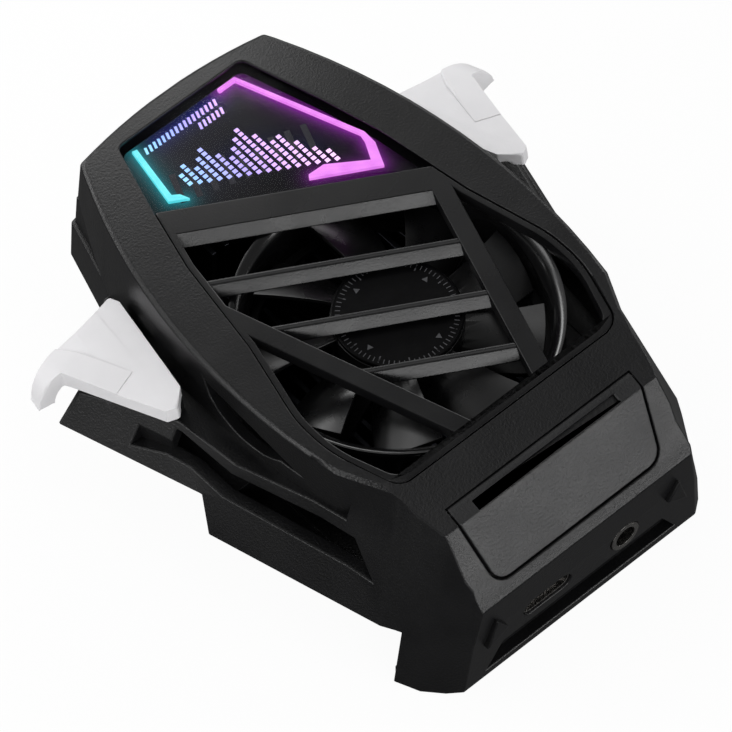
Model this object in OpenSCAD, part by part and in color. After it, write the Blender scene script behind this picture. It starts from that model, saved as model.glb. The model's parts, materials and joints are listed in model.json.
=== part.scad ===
// Clip-on phone cooling fan. Millimetres. Origin at the middle of the cold plate's
// contact face, on the fan axis. Z runs out through the grille, Y towards the light window.

/* [Housing] */
// Height of the front face over the phone's back
face_z = 22.6; // [20:0.1:26]
// Wall thickness of the housing
wall = 1.8; // [1.2:0.1:2.4]
// Chamfer along the outer edge of the face band
band_chamfer = 0.6; // [0.2:0.1:1.2]
// Half width of the face at its top corners
top_half = 17.6; // [15:0.1:20]
// Y of the top corners of the face
top_y = 49; // [46:0.1:53]
// Radius of the crowned top end
crown_r = 85; // [60:1:120]
// Radius of the bowed sides of the band
side_r = 105; // [80:1:130]
// Half width of the face where the sides are widest
side_half = 27.8; // [26:0.1:31]
// Half width of the wing tips at their underside
wing_half = 41.5; // [38:0.1:45]
// Height of the wing underside over the phone's back
wing_z = 3.3; // [2:0.1:5]
// Further rise of that underside towards its step
wing_rise = 0.9; // [0:0.1:1.5]
// Y of the joint between the housing and the clamp
clamp_joint_y = 36.6; // [34:0.1:39]
// Z of that joint at the housing and at the top end, where it runs up in a slant
clamp_joint_z = [7, 14.2]; // [5:0.1:17]
// Outward lean of the window end between the face and the clamp
foot_out = 1.4; // [1:0.1:3]

/* [Leg] */
// Depth of the leg under the phone's back plane
leg_depth = 11.6; // [9:0.1:14]
// Y of the leg face that meets the phone
leg_in_y = -31; // [-34:0.1:-28]
// Thickness of the plate that closes the leg towards the phone
leg_cover_t = 1.5; // [1:0.1:2.5]
// Y of the port face
port_y = -39.8; // [-42:0.1:-37]
// X of the USB-C receptacle
usb_x = -7.1; // [-10:0.1:-4]
// Width and height of the USB-C slot in the shell
usb_slot = [9.2, 3.3]; // [2:0.1:12]
// Height of both ports
port_z = -1.2; // [-3:0.1:2]
// X of the audio jack
jack_x = 7.8; // [5:0.1:12]
// Bore of the audio jack
jack_bore = 3.5; // [3.4:0.05:3.7]
// Outer diameter of the jack's collar
jack_collar = 5.2; // [4.6:0.1:6]

/* [Fan] */
// Outer radius of the blades
blade_r = 21.2; // [19:0.1:22]
// Gap between blade tips and duct
blade_gap = 0.7; // [0.4:0.1:1.2]
// Number of blades
blade_count = 9; // [7:1:11]
// Outer radius of the hub cup
hub_r = 9.7; // [8:0.1:11]
// Radius of the printed hub disc
disc_r = 9.2; // [8:0.1:10]
// Underside of the fan frame
fan_z = 10.6; // [9:0.1:12]
// Top of the hub cup
hub_z = 19.1; // [17:0.1:19.2]
// Shaft radius
shaft_r = 0.75; // [0.5:0.05:1.2]
// Running clearance of the shaft, in radius
shaft_clear = 0.03; // [0.01:0.01:0.1]

/* [Grille] */
// Slope of the slats across the face, in degrees
slat_angle = -30.2; // [-40:0.5:-20]
// Y where the top edge of each slat crosses the middle
slat_y = [10.9, -0.3, -11.6]; // [-20:0.1:20]
// Y where the window edge and the cross band's lower edge cross the middle
band_y = [26.2, 21.1]; // [15:0.1:30]
// Clearance of the grille in the face opening
grille_gap = 0.12; // [0.05:0.01:0.3]
// Thickness of the grille
grille_t = 2.2; // [1.5:0.1:3]

/* [Cooling] */
// Side of the cold plate
plate_side = 36; // [30:0.5:40]
// Thickness of the cold plate
plate_t = 1.6; // [1:0.1:2.5]
// Side of the thermoelectric module
tec_side = 34; // [28:0.5:38]
// Thickness of the thermoelectric module
tec_t = 3.2; // [2.4:0.1:4]
// Thickness of the heatsink floor
sink_t = 1.8; // [1.2:0.1:3]
// Half width of the heatsink under the fan and towards the window
sink_half = [17.6, 14.9]; // [12:0.1:20]
// Spacing of the fins
fin_pitch = 2.4; // [1.8:0.1:4]
// Thickness of a fin
fin_t = 0.8; // [0.5:0.1:1.2]

/* [Controls] */
// Turn of the paddle's pin in the shoulder plane
paddle_yaw = 13.6; // [8:0.1:18]
// Pin position of the right paddle
paddle_pin = [28.4, 22.5, 13.4]; // [0:0.1:40]
// Radius of the paddle's pin
pin_r = 0.6; // [0.4:0.05:1]
// Running clearance of the hinge pins, in radius
pin_clear = 0.06; // [0.02:0.01:0.1]
// Thickness of a paddle
paddle_t = 2.3; // [1.6:0.1:3]
// Height of the raised lip at the paddle's finger end
paddle_lip = 0.7; // [0.3:0.1:1.2]

/* [Kickstand] */
// Hinge line of the kickstand, Y and Z
flap_hinge = [-29.9, 18.64]; // [-40:0.05:25]
// Radius of the hinge barrel
flap_barrel = 1.1; // [0.8:0.05:1.6]
// Half width at the hinge and at the free end
flap_half = [17.3, 15.6]; // [12:0.1:20]
// Thickness of the flap
flap_t = 1.7; // [1.2:0.1:2.4]
// Gap round the flap
flap_gap = 0.3; // [0.2:0.05:0.5]

/* [Clamp] */
// Y of the clamp face that meets the phone
clamp_in_y = 46.4; // [42:0.1:50]
// Guide rod position, X and Z
rod_at = [17.8, 7.6]; // [5:0.1:25]
// Guide rod radius
rod_r = 1.1; // [0.8:0.05:1.6]
// Running clearance of the guide rods, in radius
rod_clear = 0.05; // [0.02:0.01:0.1]

/* [Hidden] */
$fn = 64;

eps = 0.01;
far = 80;
// Slope of the shoulder under the paddles, and its fall from the fan side to the wing
shoulder_y = [27, 12, 0, -18];
shoulder_z = [8, 10.9, 11.9, 13];
paddle_tilt = -atan((shoulder_z[1] - shoulder_z[0]) / (shoulder_y[0] - shoulder_y[1]));
shoulder_at_pin = shoulder_z[1]
    - (paddle_pin.y - shoulder_y[1]) * tan(-paddle_tilt);
// The shoulder as a plane of the paddle's own frame
seat_z = (shoulder_at_pin - paddle_pin.z) * cos(paddle_tilt);
crown_cy = top_y - sqrt(crown_r * crown_r - top_half * top_half);
side_c = [side_half - side_r, 4];
// Wing tip carried down to the phone's back plane along its leaning wall
wing_high = 26.2;
wing_low = wing_high + (wing_half - wing_high) / (1 - wing_z / face_z);
duct_r = blade_r + blade_gap;
// Width of the duct's flange and of its flared mouth
lip_w = 2.3;
sink_z = plate_t + tec_t;
fin_z = sink_z + sink_t;
roof_z = face_z - wall;
tan_slat = tan(slat_angle);

function arc(c, r, a0, a1, n) =
    [for (i = [0:n]) let(a = a0 + (a1 - a0) * i / n) [c.x + r * cos(a), c.y + r * sin(a)]];
// A half outline on the right, from the top end to the port end, closed by its mirror image
function both(p) = concat(p, [for (i = [len(p) - 1:-1:0]) [-p[i].x, p[i].y]]);
function lift(p, z) = [for (q = p) [q.x, q.y, z]];
// Corner of an outline rounded with radius r
function round_corner(a, b, c, r, n = 5) =
    let(u = (a - b) / norm(a - b), v = (c - b) / norm(c - b),
        h = acos(u * v) / 2, m = (u + v) / norm(u + v), o = b + m * r / sin(h),
        s = b + u * r / tan(h) - o, e = b + v * r / tan(h) - o,
        a0 = atan2(s.y, s.x), d0 = atan2(e.y, e.x) - a0,
        d = d0 > 180 ? d0 - 360 : d0 < -180 ? d0 + 360 : d0)
    [for (i = [0:n]) o + r * [cos(a0 + d * i / n), sin(a0 + d * i / n)]];
function rounded(p, r) =
    [for (i = [0:len(p) - 1])
        each round_corner(p[(i + len(p) - 1) % len(p)], p[i], p[(i + 1) % len(p)], r)];

// Face band, drawn in by o
function band_half(o) = concat(
    arc([0, crown_cy], crown_r - o, 88, acos((top_half - 1.2 * o) / (crown_r - o)), 5),
    arc(side_c, side_r - o, 24.5, -10.9, 14),
    [[22.2 - o, -23.5], [20.4 - o, -29.5], [17.4 - o, -41]]);
// The band's foot: leaning outwards towards the window end
function band_foot(o) =
    [for (p = band_half(o)) p + foot_out * max(0, p.y - 14) / 34 * [1, 0.5]];
// Skirt and wing at the phone's back plane, and where their walls would meet the face
function skirt_low(o) = [[25.6 - o, clamp_joint_y - o], [33 - o, 30.4 - o], [38.4 - o, 28.3 - o],
    [wing_low - 1.3 * o, 27 - o], [36.8 - 1.1 * o, -0.4], [29 - 1.1 * o, -28.2],
    [27.9 - o, -30.2], [25.4 - o, -34.2], [23.1 - o, port_y + 1.8 + o], [21.5 - o, port_y + o]];
function skirt_high(o) = [[22 - o, clamp_joint_y - o], [24.5 - o, 29 - o], [25.5 - o, 26.5 - o],
    [wing_high - o, 24 - o], [25.8 - o, 0.5], [21.4 - o, -24.5],
    [20.6 - o, -28], [19.4 - o, -31.5], [18 - o, -35.5], [17.1 - o, port_y - 1.5 + o]];

module loft(rings) {
    n = len(rings[0]);
    m = len(rings);
    polyhedron([for (r = rings) each r], concat(
        [[for (i = [0:n - 1]) n - 1 - i]],
        [for (k = [0:m - 2], i = [0:n - 1])
            [k * n + i, k * n + (i + 1) % n, (k + 1) * n + (i + 1) % n]],
        [for (k = [0:m - 2], i = [0:n - 1])
            [k * n + i, (k + 1) * n + (i + 1) % n, (k + 1) * n + i]],
        [[for (i = [0:n - 1]) (m - 1) * n + i]]));
}
// A Y-Z outline run along X between two values
module along_x(p, x0, x1) {
    translate([x0, 0, 0]) rotate([90, 0, 90]) linear_extrude(x1 - x0) polygon(p);
}
module mirrored() {
    children();
    mirror([1, 0, 0]) children();
}
module box(a, b) {
    translate(a) cube(b - a);
}

// Side view of the roof: face, slope to the kickstand, port slope, port face
roof = [[55, -20], [55, 19.6], [52.8, 20.9], [50.9, face_z], [-21.8, face_z], [-28.8, 20.15],
    [-32.4, 19], [port_y + 1.2, 9.4], [port_y - 0.3, 7.7], [port_y, -1],
    [port_y + 0.5, -leg_depth], [port_y + 0.5, -20]];
roof_in = [[60, -20], [60, roof_z - 1.6], [49.6, roof_z], [-22.2, roof_z], [-26.4, 19],
    [-27.2, 15.8], [-30.6, 14.2], [port_y + 4.5, 7], [port_y + 1.9, 4.5], [port_y + 1.9, -20]];
shoulder = [[60, -20], [60, 7.6], [shoulder_y[0], shoulder_z[0]], [shoulder_y[1], shoulder_z[1]],
    [shoulder_y[2], shoulder_z[2]], [shoulder_y[3], shoulder_z[3]], [shoulder_y[3], 30],
    [-60, 30], [-60, -20]];
shoulder_in = [[60, -20], [60, 5.8], for (i = [0:3]) [shoulder_y[i], shoulder_z[i] - wall],
    [shoulder_y[3], 30], [-60, 30], [-60, -20]];

module body(o, low, over, side) {
    intersection() {
        union() {
            loft([lift(both(band_foot(o)), 5), lift(both(band_half(o)), face_z - band_chamfer),
                lift(both(band_half(o + band_chamfer)), face_z)]);
            intersection() {
                loft([lift(both(skirt_low(o)), low), lift(both(skirt_high(o)), face_z)]);
                along_x(side, -far, far);
            }
        }
        along_x(over, -far, far);
    }
}
// Face opening shared by the window, the grille and the fan, drawn in by o
function opening_half(o) = concat(
    round_corner([0, 47.4 - o], [11.8 - o, 47.4 - o], [15.8 - o, 34], 1.4),
    [[15.8 - o, 34], [18.3 - o, 24.5], [20.8 - o, 8.3]],
    round_corner([20.8 - o, 8.3], [24.3 - o, -5.8], [24.3 - o, -12.5], 20),
    round_corner([24.3 - o, -5.8], [24.3 - o, -12.5], [21 - o, -23.6], 20),
    round_corner([24.3 - o, -12.5], [21 - o, -23.6 + o], [0, -23.6 + o], 3));
module opening(o) {
    polygon(both(opening_half(o)));
}
// Half plane on the upper side of a slanted line that crosses the middle at y
module above(y) {
    polygon([[-far, y - far * tan_slat], [far, y + far * tan_slat], [far, 2 * far], [-far, 2 * far]]);
}

// Kickstand: a folded plate with a rolled barrel, lying in the roof's slope and strip
crease = [roof[6].x, roof[6].y];
flap_len = 11.4;
slope_a = atan2(roof[6].y - roof[7].y, roof[6].x - roof[7].x);
strip_a = atan2(roof[5].y - roof[6].y, roof[5].x - roof[6].x);
slope_n = [-sin(slope_a), cos(slope_a)];
strip_n = [-sin(strip_a), cos(strip_a)];
// Side view, grown by g on all sides but the outer one, which is lifted by up
function flap_side(g, up) =
    let(deep = flap_t + g, low = crease - (flap_len + g) * [cos(slope_a), sin(slope_a)],
        fold = (strip_n + slope_n) / (1 + strip_n * slope_n))
    concat(arc(flap_hinge, flap_barrel + g, 90 + strip_a,
            strip_a - 180 + asin((flap_t - flap_barrel) / (flap_barrel + g)), 16),
        [crease - deep * fold, low - deep * slope_n, low + up * slope_n, crease + up * fold]);
// Plan in the slope's own frame, grown by g
module flap_plan(g) {
    low = -flap_len - g;
    translate([0, crease.x, crease.y]) rotate([slope_a, 0, 0]) linear_extrude(30, center = true)
        polygon(both(concat([[flap_half[0] + g, 12], [flap_half[0] + g, 0]],
            round_corner([flap_half[0] + g, 0], [flap_half[1] + g, low], [0, low], 2.6 + g))));
}
module flap(g, up) {
    intersection() {
        along_x(flap_side(g, up), -far, far);
        flap_plan(g);
    }
}
module kickstand() {
    color([0.16, 0.16, 0.17]) difference() {
        flap(0, 0);
        translate([-far, flap_hinge.x, flap_hinge.y]) rotate([0, 90, 0])
            cylinder(r = 0.5 + pin_clear, h = 2 * far);
        translate([0, crease.x, crease.y]) rotate([strip_a, 0, 0])
            box([-13.4, 0.35, -0.8], [13.4, 1.75, 2]);
    }
}
module kickstand_pin() {
    color([0.7, 0.7, 0.72]) translate([-19.2, flap_hinge.x, flap_hinge.y]) rotate([0, 90, 0])
        cylinder(r = 0.5, h = 38.4);
}

// Right paddle's frame: Y along the pin, Z square to the shoulder
module at_paddle() {
    translate(paddle_pin) rotate([paddle_tilt, 0, 0]) rotate([0, 0, paddle_yaw]) children();
}
module pin_posts() {
    for (y = [-9.4, 6.4])
        translate([-1.1, y, seat_z - 0.6]) difference() {
            union() {
                cube([2.6, 3, 0.6 - seat_z]);
                translate([1.1, 0, 0.6 - seat_z]) rotate([-90, 0, 0]) cylinder(r = 1.3, h = 3);
            }
            translate([1.1, -eps, 0.6 - seat_z]) rotate([-90, 0, 0])
                cylinder(r = pin_r + eps, h = 3 + 2 * eps);
        }
}
// Right paddle: a curled cross-section run along the pin, trimmed to its outline
function paddle_top(g) = concat([[-0.6, 2.2 + g], [3, 1.7 + g], [7, 1 + g]],
    arc([10.8, -5], 5.2 + g, 86, 8, 8), [[16.1 + g, -4.3]]);
paddle_under = concat([[14.4, -4.3]], arc([10.8, -5], 5.7 - paddle_t, 10, 80, 6),
    [[8.8, 1 - paddle_t], [3, 1.7 - paddle_t], [-0.6, 2.4 - paddle_t]]);
paddle_plan = rounded([[-0.6, 8.9], [0.3, 10.6], [1.6, 10.2], [11, 7.3], [16.4, 5.2], [16.4, 2.4],
    [12.2, 2.6], [3.2, -13.6], [1.4, -14.2], [-0.6, -11]], 0.5);
// Lip along the finger edge, fading out from the curl to its end at lip_end
lip_end = [7.4, -6];
lip_plan = [[17.2, 5], [17.2, 2.3], [12.2, 2.6], lip_end, [3.8, -4], [8.5, 4.6], [10.6, 7.2]];
lip_way = ([12.2, 2.6] - lip_end) / norm([12.2, 2.6] - lip_end);
lip_rise = 0.07;
module paddle_run(g) {
    rotate([-90, 180, 0]) mirror([1, 0, 0]) translate([0, 0, -16]) linear_extrude(32)
        polygon(concat(paddle_top(g), paddle_under));
}
module paddle() {
    intersection() {
        paddle_run(0);
        translate([0, 0, -10]) linear_extrude(20) polygon(paddle_plan);
    }
    intersection() {
        paddle_run(paddle_lip);
        multmatrix([[1, 0, 0, 0], [0, 1, 0, 0], [lip_rise * lip_way.x, lip_rise * lip_way.y, 1,
            0.1 - 2 - lip_rise * lip_way * lip_end]]) paddle_run(2);
        translate([0, 0, -10]) linear_extrude(20) polygon(lip_plan);
    }
}
module paddle_body() {
    difference() {
        union() {
            paddle();
            for (y = [-6.1, 3.1])
                translate([0, y, 0]) rotate([-90, 0, 0]) cylinder(r = 1.2, h = 3);
        }
        translate([0, -20, 0]) rotate([-90, 0, 0]) cylinder(r = pin_r + pin_clear, h = 40);
        for (y = [-9.7, 6.1])
            translate([-2, y, -3]) cube([4, 3.6, 4.5]);
    }
}
module paddle_right() {
    color([0.93, 0.93, 0.94]) at_paddle() paddle_body();
}
module paddle_left() {
    color([0.93, 0.93, 0.94]) mirror([1, 0, 0]) at_paddle() paddle_body();
}
module paddle_pin_right() {
    color([0.7, 0.7, 0.72]) at_paddle() translate([0, -9.3, 0]) rotate([-90, 0, 0])
        cylinder(r = pin_r, h = 18.6);
}
module paddle_pin_left() {
    mirror([1, 0, 0]) paddle_pin_right();
}
module paddle_switches() {
    color([0.3, 0.3, 0.32]) mirrored() at_paddle() {
        translate([3.4, -2.2, seat_z]) cube([4.4, 4.4, 2.4]);
        translate([5.6, 0, seat_z + 2.4 - eps]) cylinder(r = 1.1, h = 0.5);
    }
}

// Housing
boss_at = [18.6, -26];
// Leg outline at its foot, and at the skirt's lower edge where both are flush
leg_low = [[28.9, leg_in_y], [27.2, leg_in_y - 3.9], [24.8, port_y + 2.2], [22.7, port_y + 0.6]];
leg_top = skirt_low(0);
leg_share = (leg_in_y - leg_top[6].y) / (leg_top[7].y - leg_top[6].y);
leg_high = [leg_top[6] + (leg_top[7] - leg_top[6]) * leg_share, leg_top[7], leg_top[8], leg_top[9]];
// Side view of the joint to the clamp, moved by g
function joint(g) = [[clamp_joint_y + g, -20], [clamp_joint_y + g, clamp_joint_z[0] - g],
    [top_y, clamp_joint_z[1] - g], [far, clamp_joint_z[1] - g], [far, -20]];
module shell_solid() {
    difference() {
        body(0, 0, roof, shoulder);
        along_x(joint(0), -far, far);
        // Wing underside, raised over the phone, with its sloped step
        mirrored() along_x([[-0.4, -1], [-0.4, 0], [3.2, wing_z + wing_rise], [27, wing_z],
            [far, wing_z], [far, -1]], 27.2, far);
    }
    intersection() {
        loft([lift(both(leg_low), -leg_depth), lift(both(leg_high), 0)]);
        along_x(roof, -far, far);
    }
    mirrored() along_x(concat([[leg_in_y - 1, -3.2]], arc([leg_in_y + 3.2, -3.2], 3.2, 180, 90, 8),
        [[leg_in_y + 3.2, 0.5], [leg_in_y - 1, 0.5]]), 24.4, 26.4);
    box([-27.6, leg_in_y - 1, -leg_depth], [27.6, leg_in_y + 1.1, 1.6 - leg_depth]);
    // Small wedges at both ends of the port face
    mirrored() translate([0, port_y + 1, 0]) rotate([90, 0, 0]) linear_extrude(1.9)
        polygon([[15.4, 0.3], [17.6, 3.8], [19.4, -2]]);
}
module shell_hollow() {
    intersection() {
        body(wall, -1, roof_in, shoulder_in);
        union() {
            box([-far, -far, wall], [far, -0.4, far]);
            box([-far, -0.5, wing_z + wing_rise / 2 + wall], [far, 34.8, far]);
            along_x([[34, clamp_joint_z[0] + 2], [clamp_joint_y, clamp_joint_z[0] + 2],
                [top_y, clamp_joint_z[1] + 2], [far, clamp_joint_z[1] + 2], [far, far], [34, far]],
                -far, far);
        }
    }
    box([-25.6, -29.5, -1], [25.6, 34.6, 2.2]);
    box([-25.6, -0.5, -1], [25.6, 34.6, 6]);
    translate([0, 0, 1.7 - leg_depth]) linear_extrude(leg_depth - 1.6 + wall)
        polygon(both([[24, leg_in_y + eps], [24, leg_in_y - 2.5], [20.6, port_y + 2.2]]));
}
module port_cuts() {
    translate([usb_x, port_y - 3, port_z]) rotate([-90, 0, 0]) linear_extrude(6) {
        square([usb_slot.x - usb_slot.y, usb_slot.y], center = true);
        mirrored() translate([(usb_slot.x - usb_slot.y) / 2, 0]) circle(d = usb_slot.y);
    }
    translate([jack_x, port_y - 3, port_z]) rotate([-90, 0, 0]) cylinder(d = jack_collar + 0.1, h = 6);
    translate([0, port_y + 3, 0]) rotate([90, 0, 0]) linear_extrude(6)
        polygon(both([[15.4, -4.9], [18.3, 1.7 - leg_depth]]));
}
// Crescent vent under the band and long vent in the skirt
crescent = concat([[10.6, 18.9]], arc([8, -30], 48.6, 88, 111, 6), arc([1.6, 24.6], 11.8, 232, 310, 8));
side_vent = [[11.2, 9.8], [-20.2, 11], [-24.9, 6.1], [10.7, 6.6]];
vent_ramp = [[16.3, 8.4], [11.2, 9.8], [10.7, 6.6], [16, 5.3]];
// Both mouldings of the housing in one, before they part
module housing() {
    difference() {
        shell_solid();
        shell_hollow();
        translate([0, 0, roof_z - 4]) linear_extrude(8) opening(0);
        translate([0, 0, roof_z - 1]) linear_extrude(2.2) intersection() {
            opening(-0.8);
            above(band_y[0]);
        }
        mirrored() along_x(crescent, 23.5, 40);
        mirrored() along_x(side_vent, 20, 50);
        mirrored() intersection() {
            along_x(vent_ramp, 20, 50);
            linear_extrude(far) polygon([[33.3, 10], [35.2, 16.6], [60, 16.6], [60, 10]]);
        }
        flap(flap_gap, 3);
        translate([-19.3, flap_hinge.x, flap_hinge.y]) rotate([0, 90, 0])
            cylinder(r = 0.5 + eps, h = 38.6);
        port_cuts();
        mirrored() translate([rod_at.x, 34, rod_at.y]) rotate([-90, 0, 0])
            cylinder(r = rod_r + 0.4, h = 8);
    }
}
// Part line of the mouldings, just over the shoulder and down to the port face
part_line = [[far, shoulder_z[0] - 0.1], for (i = [0:3]) [shoulder_y[i], shoulder_z[i] + 0.3],
    [port_y - 2.2, 5.4], [-far, 5.4]];
module under_part_line() {
    along_x(concat(part_line, [[-far, -far], [far, -far]]), -far, far);
}
module front_shell() {
    color([0.12, 0.12, 0.13]) {
        difference() {
            housing();
            under_part_line();
        }
        mirrored() translate([boss_at.x, boss_at.y, wall + 0.05]) difference() {
            cylinder(r = 2.2, h = 17.4);
            translate([0, 0, -1]) cylinder(r = 0.9, h = 8.2);
        }
    }
}
module base_shell() {
    color([0.13, 0.13, 0.14]) {
        intersection() {
            housing();
            under_part_line();
        }
        mirrored() at_paddle() pin_posts();
    }
}

// Grille insert
bar_slope = 0.334;
module bars() {
    mirrored() polygon([for (p = [[16.3, 24], [16.3, -24], [13.1, -24], [13.1, 24]])
        [p.x + bar_slope * p.y, p.y]]);
}
module slat(y) {
    translate([0, y, 0]) rotate([0, 0, slat_angle]) rotate([90, 0, 90])
        linear_extrude(70, center = true)
        polygon([[0, 0], [0, grille_t - 0.2], [-0.8, grille_t - 0.2], [-2.3, 0]]);
}
module grille() {
    color([0.1, 0.1, 0.11]) intersection() {
        translate([0, 0, -0.15]) along_x(roof, -far, far);
        translate([0, 0, face_z - 0.2 - grille_t]) {
            linear_extrude(grille_t) difference() {
                intersection() {
                    opening(grille_gap);
                    difference() {
                        square(2 * far, center = true);
                        above(band_y[0] - grille_gap);
                    }
                }
                difference() {
                    opening(1.2);
                    above(band_y[1]);
                    bars();
                }
            }
            intersection() {
                linear_extrude(grille_t)
                    polygon(both([[13.5 + bar_slope * 40, 40], [13.5 - bar_slope * 24, -24]]));
                linear_extrude(grille_t) opening(1);
                union() {
                    for (y = slat_y) slat(y);
                    slat(band_y[1] + 0.9);
                }
            }
        }
    }
}

// Light window
module window_lens() {
    color([0.3, 0.3, 0.35, 0.4]) translate([0, 0, roof_z + 0.1]) linear_extrude(1.05) intersection() {
        opening(-0.7);
        above(band_y[0] + 0.1);
    }
}
strip_z = roof_z - 0.5;
module display_plate() {
    color([0.5, 0.55, 0.6, 0.3]) translate([0, 0, strip_z - 0.8]) linear_extrude(0.8) difference() {
        intersection() {
            opening(0.4);
            above(band_y[0] + 0.5);
        }
        circle(r = duct_r + lip_w + 0.3);
    }
}
module light_strip_left() {
    color([0.3, 0.9, 0.95]) translate([0, 0, strip_z]) linear_extrude(0.6)
        polygon([[-10.1, 46.3], [-9.3, 46.1], [-10.9, 36.6], [-9.9, 35.9], [-9.3, 34.4], [-12, 36]]);
}
module light_strip_right() {
    color([0.85, 0.3, 0.95]) translate([0, 0, strip_z]) linear_extrude(0.6)
        polygon([[6.5, 46.6], [9.8, 46.6], [17.3, 26.5], [17.2, 24], [15.4, 20], [5.8, 25.5], [6.2, 26.1],
            [9, 26], [14.7, 22], [16.3, 25.2], [16.6, 26.5], [9.4, 46], [6.5, 46]]);
}

// Fan
module fan_frame() {
    color([0.14, 0.14, 0.15]) difference() {
        union() {
            translate([0, 0, fan_z]) difference() {
                cylinder(r = duct_r + lip_w, h = 1.2);
                translate([0, 0, -eps]) cylinder(r = duct_r - 1.2, h = 2);
            }
            translate([0, 0, fan_z]) cylinder(r = 7.6, h = 1.2);
            for (a = [20:90:290])
                rotate(a) box([6, -1.3, fan_z], [duct_r, 1.3, fan_z + 1.2]);
            translate([0, 0, fan_z]) cylinder(r = 3.2, h = 5.7);
        }
        translate([0, 0, fan_z + 1.2]) cylinder(r = 2.15, h = 6);
    }
}
module fan_shroud() {
    color([0.11, 0.11, 0.12]) rotate_extrude($fn = 128) polygon(concat(
        [[duct_r, fan_z + 1.2], [duct_r, 16.6]],
        arc([duct_r + 3.4, 16.6], 3.4, 180, 118, 6),
        [[duct_r + lip_w, 19.7], [duct_r + lip_w, 19], [duct_r + 1.2, 17], [duct_r + 1.2, fan_z + 1.2]]));
}
// Blade surface point: station r, place s along the chord from -1 to 1, side +1 or -1
function blade_pt(r, s, side) =
    let(q = (r - hub_r) / (blade_r - hub_r), a = 8 * q + s * (17 - 4.2 * q),
        z = 15.5 + s * (2.6 - 0.5 * q) + 0.5 * (1 - s * s) + side * 0.42)
    [r * cos(a), r * sin(a), z];
function quad(a, b, c, d) = [[a, b, c], [a, c, d]];
module blade() {
    rs = [hub_r - 0.7, 12.5, 15.4, 18.3, blade_r];
    n = 6;
    m = len(rs) - 1;
    k = n + 1;
    h = (m + 1) * k;
    polyhedron([for (side = [1, -1], r = rs, i = [0:n]) blade_pt(r, 2 * i / n - 1, side)],
        concat(
        [for (j = [0:m - 1], i = [0:n - 1])
            each quad(j * k + i, j * k + i + 1, (j + 1) * k + i + 1, (j + 1) * k + i)],
        [for (j = [0:m - 1], i = [0:n - 1])
            each quad(h + j * k + i, h + (j + 1) * k + i, h + (j + 1) * k + i + 1, h + j * k + i + 1)],
        [for (i = [0:n - 1]) each quad(i, h + i, h + i + 1, i + 1)],
        [for (i = [0:n - 1]) each quad(m * k + i, m * k + i + 1, h + m * k + i + 1, h + m * k + i)],
        [for (j = [0:m - 1]) each quad(j * k, (j + 1) * k, h + (j + 1) * k, h + j * k)],
        [for (j = [0:m - 1])
            each quad(j * k + n, h + j * k + n, h + (j + 1) * k + n, (j + 1) * k + n)]));
}
module fan_rotor() {
    color([0.15, 0.15, 0.16]) {
        rotate_extrude() polygon([[0, hub_z], [0, hub_z - 2], [1.7, hub_z - 2], [1.7, hub_z - 1.1],
            [hub_r - 1.2, hub_z - 1.1], [hub_r - 1.2, 12.4], [hub_r, 12.4], [hub_r, hub_z]]);
        for (i = [0:blade_count - 1]) rotate(-95 + i * 360 / blade_count) blade();
    }
}
module hub_cap() {
    color([0.08, 0.08, 0.09]) translate([0, 0, hub_z]) rotate_extrude()
        polygon([[0, 0], [hub_r - 0.1, 0], [hub_r - 0.1, 0.55], [hub_r - 0.4, 0.7],
            [disc_r + 0.1, 0.7], [disc_r + 0.1, 0.45], [0, 0.45]]);
}
module rotor_magnet() {
    color([0.25, 0.25, 0.26]) translate([0, 0, 12.6]) rotate_extrude()
        polygon([[hub_r - 2.2, 0], [hub_r - 1.2, 0], [hub_r - 1.2, 4.4], [hub_r - 2.2, 4.4]]);
}
module motor_stator() {
    color([0.6, 0.4, 0.25]) translate([0, 0, 12.4]) linear_extrude(3.4) difference() {
        union() {
            circle(r = 4.6);
            for (a = [0:60:300]) rotate(a) {
                translate([3, -0.9]) square([3.6, 1.8]);
                intersection() {
                    difference() {
                        circle(r = 7.1);
                        circle(r = 6.2);
                    }
                    polygon([[0, 0], [9, -3.6], [9, 3.6]]);
                }
            }
        }
        circle(r = 3.2 + shaft_clear);
    }
}
module motor_shaft() {
    color([0.75, 0.75, 0.77]) translate([0, 0, 12.2]) cylinder(r = shaft_r, h = hub_z - 2 - 12.2);
}
module sleeve_bearing() {
    color([0.7, 0.55, 0.3]) translate([0, 0, fan_z + 1.25]) difference() {
        cylinder(r = 2.12, h = 4.4);
        translate([0, 0, 0.3]) cylinder(r = shaft_r + shaft_clear, h = 5);
    }
}

// Cooling stack
sink_screws = [[13.2, -20.6], [13.2, 20.6]];
fin_n = floor((sink_half[0] - fin_t / 2) / fin_pitch);
// Side view of the taller fins under the window, with their toes over the clamp joint
window_fin = [[26, fin_z - eps], [34.5, fin_z - eps], [34.5, 16.4], [39.6, 16.4], [39.6, 18.4], [26, 18.4]];
module heatsink() {
    color([0.55, 0.56, 0.58]) {
        difference() {
            union() {
                box([-sink_half[0], -22, sink_z], [sink_half[0], 18.6, fin_z]);
                box([-sink_half[1], 18, sink_z], [sink_half[1], 34.5, fin_z]);
            }
            mirrored() for (p = sink_screws)
                translate([p.x, p.y, 0]) cylinder(r = 0.9, h = 20);
        }
        for (i = [-fin_n:fin_n]) {
            x = i * fin_pitch - fin_t / 2;
            reach = abs(i) * fin_pitch + fin_t / 2;
            box([x, -22, fin_z - eps], [x + fin_t, reach < sink_half[1] ? 24 : 18, fan_z]);
            if (reach < sink_half[1] - 2.4)
                along_x(window_fin, x, x + fin_t);
        }
    }
}
module thermo_module() {
    h = tec_side / 2;
    color([0.92, 0.92, 0.9]) translate([0, 0, plate_t]) {
        box([-h, -h, 0], [h, h, 0.8]);
        box([1 - h, 1 - h, 0.8 - eps], [h - 1, h - 1, tec_t - 0.8 + eps]);
        box([-h, -h, tec_t - 0.8], [h, h, tec_t]);
    }
}
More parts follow.
